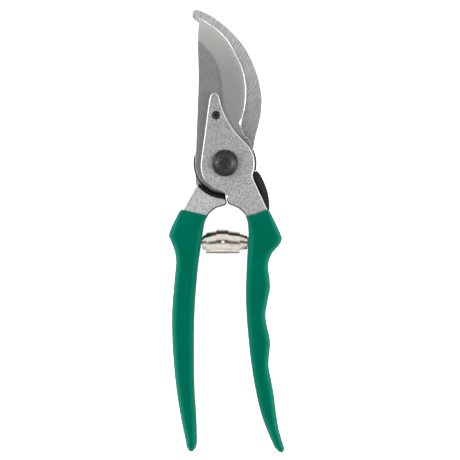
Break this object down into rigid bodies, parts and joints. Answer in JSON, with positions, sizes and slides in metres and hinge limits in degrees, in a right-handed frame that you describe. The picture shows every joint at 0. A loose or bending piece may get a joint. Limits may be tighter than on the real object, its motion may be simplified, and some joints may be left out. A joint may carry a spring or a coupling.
{
  "type": "bypass pruner",
  "caption": "Hand pruner whose cutting blade passes a hooked counter blade, with dipped grips, a spring between the handles and a thumb latch.",
  "frame": {"origin": "on the pivot axis, at the surface that the closed tool lies on, at the back end of the pivot bolt", "axes": "+Z through the thickness towards the front, along the pivot axis; +Y from the handles towards the jaws; +X towards the handle with the finger grooves"},
  "size_m": [0.056, 0.2156, 0.0176],
  "materials": {
    "handle_metal": "forged and tumbled, with polished edges",
    "grip_vinyl": "dipped vinyl, satin gloss",
    "blade_steel": "ground and brushed",
    "small_steel": "zinc plated",
    "black_steel": "black oxide, satin",
    "spring_nickel": "nickel plated",
    "bumper_rubber": "matte black"
  },
  "bodies": {
    "handle_a_side": {"handle_a": "handle_metal", "grip_a": "grip_vinyl", "cutting_blade": "blade_steel", "blade_screw": "black_steel", "pivot_bushing": "small_steel", "latch_screw": "small_steel", "latch_washer": "small_steel", "volute_spring": "spring_nickel"},
    "handle_b_side": {"handle_b": "handle_metal", "grip_b": "grip_vinyl", "counter_blade": "blade_steel", "counter_blade_rivet_1": "small_steel", "counter_blade_rivet_2": "small_steel", "counter_blade_rivet_3": "small_steel", "pivot_bolt": "black_steel", "pivot_washer": "small_steel", "pivot_nut": "black_steel", "nut_lock_plate": "small_steel", "nut_lock_screw": "small_steel", "rubber_bumper": "bumper_rubber"},
    "latch": {"thumb_latch": "black_steel"}
  },
  "joints": [
    {"name": "handle_pivot", "type": "hinge", "parent": "handle_a_side", "child": "handle_b_side", "pos_m": [0, 0, 0.0085], "axis": [0, 0, -1], "range_deg": [0, 25], "deforming": ["volute_spring"]},
    {"name": "latch_pivot", "type": "hinge", "parent": "handle_a_side", "child": "latch", "pos_m": [0.0142, -0.018, 0.0075], "axis": [0, 0, -1], "range_deg": [0, 12]}
  ]
}
